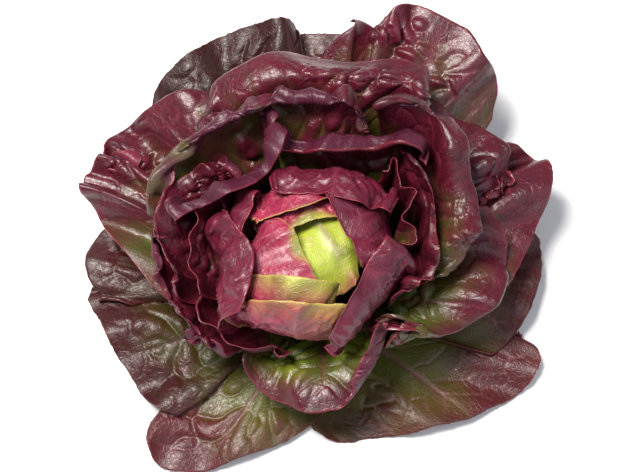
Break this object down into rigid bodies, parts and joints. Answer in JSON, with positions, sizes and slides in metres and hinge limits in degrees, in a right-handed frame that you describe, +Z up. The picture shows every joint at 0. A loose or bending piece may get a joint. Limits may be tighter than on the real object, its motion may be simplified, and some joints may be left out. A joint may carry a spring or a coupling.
{
  "type": "head of lettuce",
  "caption": "Head of red butterhead lettuce with loose ruffled leaves round a closing heart, cut flat at the stem.",
  "frame": {"origin": "middle of the cut face of the stem, which stands on the table", "axes": "+Z up along the stem, -Y towards the front of the head, +X to its right"},
  "size_m": [0.2891, 0.2774, 0.1172],
  "materials": {
    "heart_middle": "soft yellow-green leaf with a pale midrib",
    "heart_leaf": "glossy magenta leaf that turns yellow-green at its margin",
    "inner_leaf": "glossy wine-red leaf with blisters between the veins",
    "standing_leaf": "glossy burgundy leaf with a violet-grey back",
    "low_leaf": "duller brown-green leaf with a toothed margin",
    "stem": "pale green cut stem"
  },
  "bodies": {
    "root": {"heart_leaf_core": "heart_middle", "heart_leaf_middle": "heart_middle", "heart_leaf_back": "heart_leaf", "heart_leaf_left": "heart_leaf", "heart_leaf_back_outer": "heart_leaf", "heart_leaf_front_inner": "heart_leaf", "heart_leaf_front": "heart_leaf", "heart_leaf_right": "heart_leaf", "heart_leaf_left_small": "heart_leaf", "heart_leaf_left_outer": "heart_leaf", "heart_leaf_front_right": "heart_leaf", "inner_leaf_back": "heart_leaf", "inner_leaf_back_right": "inner_leaf", "inner_leaf_left_narrow": "inner_leaf", "inner_leaf_right": "inner_leaf", "inner_leaf_back_low": "inner_leaf", "inner_leaf_back_left": "inner_leaf", "inner_leaf_front_low": "inner_leaf", "inner_leaf_left": "inner_leaf", "inner_leaf_front_left": "inner_leaf", "front_leaf": "inner_leaf", "back_inner_arch_leaf": "standing_leaf", "right_arch_leaf": "standing_leaf", "front_right_leaf": "standing_leaf", "back_arch_leaf": "standing_leaf", "left_leaf": "standing_leaf", "back_left_leaf": "standing_leaf", "right_upper_leaf": "standing_leaf", "right_leaf": "standing_leaf", "back_right_leaf": "standing_leaf", "back_pointed_leaf": "standing_leaf", "back_low_left_leaf": "low_leaf", "back_low_leaf": "low_leaf", "left_low_leaf": "low_leaf", "front_left_side_leaf": "low_leaf", "front_left_low_leaf": "low_leaf", "right_flat_leaf": "low_leaf", "front_right_low_leaf": "low_leaf", "stem": "stem"}
  },
  "joints": []
}
